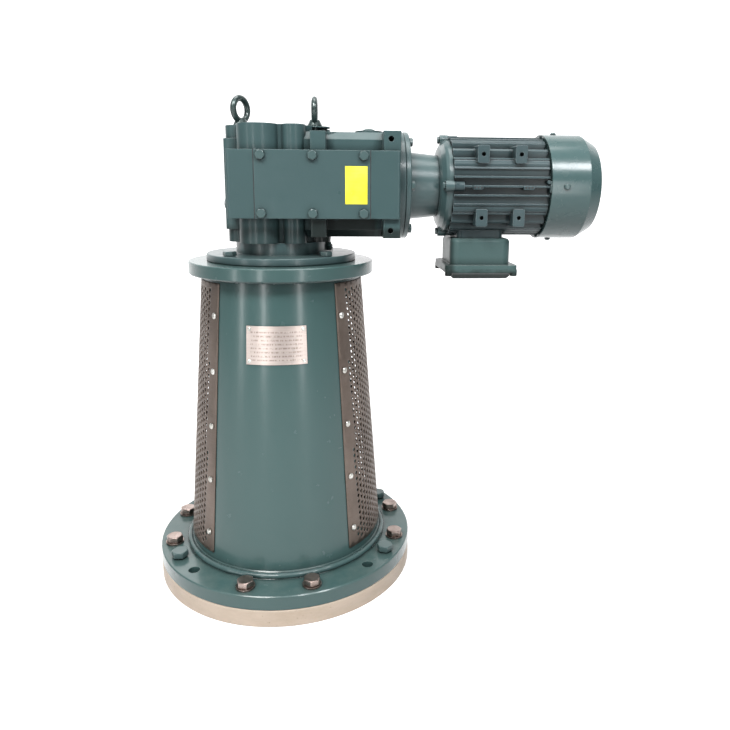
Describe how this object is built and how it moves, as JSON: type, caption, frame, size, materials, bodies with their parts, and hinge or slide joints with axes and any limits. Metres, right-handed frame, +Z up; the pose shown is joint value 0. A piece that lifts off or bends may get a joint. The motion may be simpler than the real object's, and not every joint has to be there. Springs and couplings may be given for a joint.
{
  "type": "tank agitator drive",
  "caption": "Tank agitator drive: a finned electric motor and right-angle gearbox on a conical lantern with guarded windows, turning an upright shaft.",
  "frame": {"origin": "centre of the tank plate's underside, on the output shaft's axis", "axes": "+Z up the output shaft, +X from the output shaft to the motor, -Y towards the gearbox cover"},
  "size_m": [0.7544, 0.445, 0.81],
  "materials": {
    "green_paint": "dark grey-green gloss machine paint on castings",
    "plate_cream": "cream primer on the tank plate",
    "guard_sheet": "perforated sheet, worn grey-brown",
    "stainless": "stainless fasteners, slightly warm",
    "zinc_screws": "bright plated small screws",
    "dark_eye": "dark glossy lifting eyes",
    "plate_metal": "bare aluminium plate",
    "label_yellow": "plain yellow sticker",
    "bright_steel": "ground shafts and gears",
    "bearing_steel": "polished bearing rings",
    "rubber_black": "seals and gaskets",
    "lamination": "stacked electrical steel",
    "copper": "enamelled copper winding heads",
    "fan_plastic": "black moulded fan",
    "block_plastic": "moulded terminal block",
    "brass_studs": "brass terminals",
    "grey_iron": "bare machined cast iron"
  },
  "bodies": {
    "base": {"base_bolts": "stainless", "base_washers": "stainless", "bearing_covers": "green_paint", "bearing_outer_rings": "bearing_steel", "blanking_plug": "rubber_black", "cartridge_bolts": "stainless", "cartridge_cover": "grey_iron", "cover_bolts": "green_paint", "cover_label": "label_yellow", "drive_end_shield": "green_paint", "eye_bolts": "dark_eye", "fan_cover": "green_paint", "fan_cover_screws": "zinc_screws", "flange_bolts": "green_paint", "gaskets": "rubber_black", "gearbox_cover": "green_paint", "gearbox_housing": "green_paint", "guard_left": "guard_sheet", "guard_right": "guard_sheet", "guard_screws": "zinc_screws", "hub_screws": "stainless", "input_bolts": "green_paint", "input_flange": "green_paint", "jack_screws": "green_paint", "lantern": "green_paint", "lid_screws": "zinc_screws", "motor_adapter": "green_paint", "motor_frame": "green_paint", "nameplate": "plate_metal", "nameplate_rivets": "zinc_screws", "oil_plugs": "green_paint", "output_flange": "green_paint", "rear_end_shield": "green_paint", "seal_cartridge": "grey_iron", "shaft_seals": "rubber_black", "shield_bolts": "zinc_screws", "stator_core": "lamination", "stator_windings": "copper", "tank_plate": "plate_cream", "terminal_block": "block_plastic", "terminal_box": "green_paint", "terminal_box_lid": "green_paint", "terminal_studs": "brass_studs"},
    "rotor": {"rotor_shaft": "bright_steel", "rotor_core": "lamination", "cooling_fan": "fan_plastic", "motor_inner_rings": "bearing_steel"},
    "bevel_pinion": {"bevel_pinion_shaft": "bright_steel", "input_wheel": "bright_steel", "pinion_inner_rings": "bearing_steel"},
    "intermediate": {"layshaft": "bright_steel", "bevel_wheel": "bright_steel", "layshaft_inner_rings": "bearing_steel"},
    "output": {"output_shaft": "bright_steel", "output_wheel": "bright_steel", "output_inner_rings": "bearing_steel", "coupling_halves": "bright_steel", "coupling_bolts": "stainless", "drive_shaft": "bright_steel", "rotating_seal_ring": "bearing_steel"}
  },
  "joints": [
    {"name": "motor_turn", "type": "hinge", "parent": "base", "child": "rotor", "pos_m": [0.35, 0, 0.67], "axis": [1, 0, 0], "continuous": true},
    {"name": "bevel_pinion_turn", "type": "hinge", "parent": "base", "child": "bevel_pinion", "pos_m": [0.165, -0.04, 0.67], "axis": [1, 0, 0], "continuous": true},
    {"name": "intermediate_turn", "type": "hinge", "parent": "base", "child": "intermediate", "pos_m": [0.08062, -0.04, 0.67], "axis": [0, 0, 1], "continuous": true},
    {"name": "output_turn", "type": "hinge", "parent": "base", "child": "output", "pos_m": [0, 0, 0.4], "axis": [0, 0, 1], "continuous": true}
  ],
  "couplings": [
    {"joint": "bevel_pinion_turn", "follows": "motor_turn", "ratio": -0.33333},
    {"joint": "intermediate_turn", "follows": "motor_turn", "ratio": -0.11111},
    {"joint": "output_turn", "follows": "motor_turn", "ratio": 0.031746}
  ]
}
